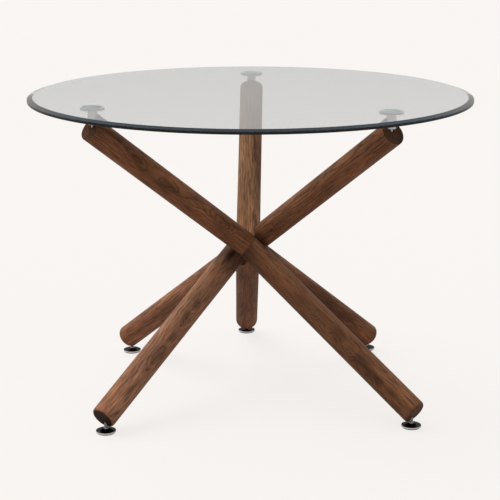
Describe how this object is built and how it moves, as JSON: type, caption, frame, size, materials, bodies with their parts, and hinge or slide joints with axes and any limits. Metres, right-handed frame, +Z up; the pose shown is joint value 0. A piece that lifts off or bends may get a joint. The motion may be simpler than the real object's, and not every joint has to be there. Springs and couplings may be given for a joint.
{
  "type": "round dining table",
  "caption": "Round dining table: clear bevelled glass pane resting on metal support discs above a star of crossed round walnut poles on levelling feet.",
  "frame": {"origin": "on the floor under the centre of the pane", "axes": "+Z up, -Y towards the viewer of the picture, +X to the viewer's right"},
  "size_m": [1.0669, 1.067, 0.75],
  "materials": {
    "clear_glass": "polished, bevelled rim",
    "clear_bumper": "clear soft plastic",
    "satin_steel": "satin",
    "bright_steel": "zinc plated",
    "insert_brass": "turned",
    "black_nickel": "black nickel",
    "black_rubber": "matt",
    "walnut": "dark walnut stain, satin lacquer"
  },
  "bodies": {
    "base": {"back_left_leg": "walnut", "back_left_leg_rod": "bright_steel", "bumper_left": "clear_bumper", "bumper_rear": "clear_bumper", "bumper_right": "clear_bumper", "cross_pole": "walnut", "foot_insert_back_left": "insert_brass", "foot_insert_back_right": "insert_brass", "foot_insert_front_left": "insert_brass", "foot_insert_front_right": "insert_brass", "foot_insert_rear": "insert_brass", "front_left_leg": "walnut", "front_left_leg_rod": "bright_steel", "front_right_leg": "walnut", "front_right_leg_rod": "bright_steel", "post_insert_left": "insert_brass", "post_insert_rear": "insert_brass", "post_insert_right": "insert_brass", "post_stud_left": "bright_steel", "post_stud_rear": "bright_steel", "post_stud_right": "bright_steel", "rear_arm": "walnut", "rear_arm_rod": "bright_steel", "rear_leg": "walnut", "rear_leg_rod": "bright_steel", "right_arm": "walnut", "right_arm_rod": "bright_steel", "support_disc_left": "satin_steel", "support_disc_rear": "satin_steel", "support_disc_right": "satin_steel", "support_post_left": "satin_steel", "support_post_rear": "satin_steel", "support_post_right": "satin_steel"},
    "glass": {"glass_top": "clear_glass"},
    "foot_front_left": {"foot_disc_front_left": "black_nickel", "foot_pad_front_left": "black_rubber"},
    "stem_front_left": {"foot_stem_front_left": "bright_steel"},
    "foot_front_right": {"foot_disc_front_right": "black_nickel", "foot_pad_front_right": "black_rubber"},
    "stem_front_right": {"foot_stem_front_right": "bright_steel"},
    "foot_back_left": {"foot_disc_back_left": "black_nickel", "foot_pad_back_left": "black_rubber"},
    "stem_back_left": {"foot_stem_back_left": "bright_steel"},
    "foot_back_right": {"foot_disc_back_right": "black_nickel", "foot_pad_back_right": "black_rubber"},
    "stem_back_right": {"foot_stem_back_right": "bright_steel"},
    "foot_rear": {"foot_disc_rear": "black_nickel", "foot_pad_rear": "black_rubber"},
    "stem_rear": {"foot_stem_rear": "bright_steel"}
  },
  "joints": [
    {"name": "glass_lift", "type": "slide", "parent": "base", "child": "glass", "axis": [0, 0, 1], "range_m": [0, 0.05]},
    {"name": "level_front_left", "type": "slide", "parent": "base", "child": "foot_front_left", "axis": [0, 0, 1], "range_m": [-0.01, 0]},
    {"name": "turn_front_left", "type": "hinge", "parent": "foot_front_left", "child": "stem_front_left", "pos_m": [-0.33657, -0.30841, 0.01], "axis": [0, 0, 1], "range_deg": [-2885, 0]},
    {"name": "level_front_right", "type": "slide", "parent": "base", "child": "foot_front_right", "axis": [0, 0, 1], "range_m": [-0.01, 0]},
    {"name": "turn_front_right", "type": "hinge", "parent": "foot_front_right", "child": "stem_front_right", "pos_m": [0.37829, -0.27384, 0.01], "axis": [0, 0, 1], "range_deg": [-2885, 0]},
    {"name": "level_back_left", "type": "slide", "parent": "base", "child": "foot_back_left", "axis": [0, 0, 1], "range_m": [-0.01, 0]},
    {"name": "turn_back_left", "type": "hinge", "parent": "foot_back_left", "child": "stem_back_left", "pos_m": [-0.32318, 0.28997, 0.01], "axis": [0, 0, 1], "range_deg": [-2885, 0]},
    {"name": "level_back_right", "type": "slide", "parent": "base", "child": "foot_back_right", "axis": [0, 0, 1], "range_m": [-0.01, 0]},
    {"name": "turn_back_right", "type": "hinge", "parent": "foot_back_right", "child": "stem_back_right", "pos_m": [0.31716, 0.30905, 0.01], "axis": [0, 0, 1], "range_deg": [-2885, 0]},
    {"name": "level_rear", "type": "slide", "parent": "base", "child": "foot_rear", "axis": [0, 0, 1], "range_m": [-0.01, 0]},
    {"name": "turn_rear", "type": "hinge", "parent": "foot_rear", "child": "stem_rear", "pos_m": [-0.01066, 0.46988, 0.01], "axis": [0, 0, 1], "range_deg": [-2885, 0]}
  ],
  "couplings": [
    {"joint": "turn_front_left", "follows": "level_front_left", "rad_per_m": 5026.5},
    {"joint": "turn_front_right", "follows": "level_front_right", "rad_per_m": 5026.5},
    {"joint": "turn_back_left", "follows": "level_back_left", "rad_per_m": 5026.5},
    {"joint": "turn_back_right", "follows": "level_back_right", "rad_per_m": 5026.5},
    {"joint": "turn_rear", "follows": "level_rear", "rad_per_m": 5026.5}
  ]
}
